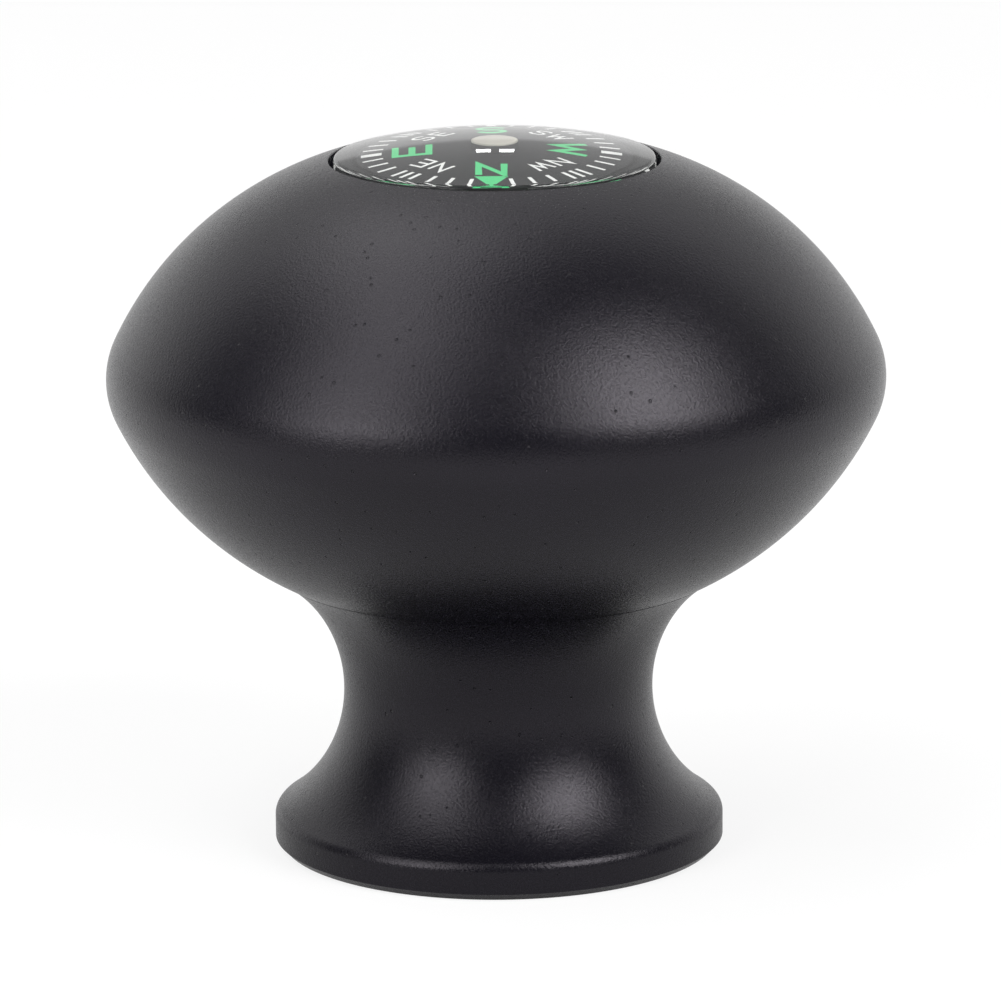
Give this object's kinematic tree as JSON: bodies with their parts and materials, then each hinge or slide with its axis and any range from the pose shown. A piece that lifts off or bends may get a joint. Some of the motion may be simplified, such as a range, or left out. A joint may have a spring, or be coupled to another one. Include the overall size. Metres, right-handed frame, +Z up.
{
  "type": "pedestal compass",
  "caption": "Black turned pedestal knob with a lens-shaped head, waisted neck and flared foot, and a domed liquid-filled compass capsule set flush in its top.",
  "frame": {"origin": "centre of the foot's underside, on the turning axis", "axes": "+Z up along the turning axis through the dome; -Y is the side that the card's north mark faces at rest, with its east mark towards -X"},
  "size_m": [0.05, 0.05, 0.0465],
  "materials": {
    "black_anodised": "satin",
    "brass": "satin",
    "black_rubber": "matte",
    "bowl_black": "matte",
    "clear_acrylic": "polished",
    "membrane_rubber": "matte",
    "steel_pin": "polished",
    "jewel": "polished",
    "cap_cream": "gloss",
    "card_black": "matte",
    "float_white": "matte",
    "magnet_steel": "satin"
  },
  "bodies": {
    "housing": {"pedestal_stem": "black_anodised", "head_shell": "black_anodised", "thread_insert": "brass", "base_gasket": "black_rubber", "cushion_ring": "black_rubber", "capsule_bowl": "bowl_black", "capsule_o_ring": "black_rubber", "lens_seal_ring": "black_rubber", "dome_lens": "clear_acrylic", "expansion_diaphragm": "membrane_rubber", "diaphragm_ring": "brass", "fill_plug": "brass", "pivot_bush": "brass", "pivot_pin": "steel_pin"},
    "card_jewel": {"jewel_cup": "jewel"},
    "card_hub_body": {"card_hub": "card_black", "hub_cap": "cap_cream"},
    "card": {"compass_card": "card_black", "card_float": "float_white", "magnet_left": "magnet_steel", "magnet_right": "magnet_steel"}
  },
  "joints": [
    {"name": "card_dip", "type": "hinge", "parent": "housing", "child": "card_jewel", "pos_m": [0, 0, 0.0435], "axis": [1, 0, 0], "range_deg": [-5, 5]},
    {"name": "card_heel", "type": "hinge", "parent": "card_jewel", "child": "card_hub_body", "pos_m": [0, 0, 0.0435], "axis": [0, 1, 0], "range_deg": [-5, 5]},
    {"name": "card_turn", "type": "hinge", "parent": "card_hub_body", "child": "card", "pos_m": [0, 0, 0.0435], "axis": [0, 0, 1], "continuous": true}
  ]
}
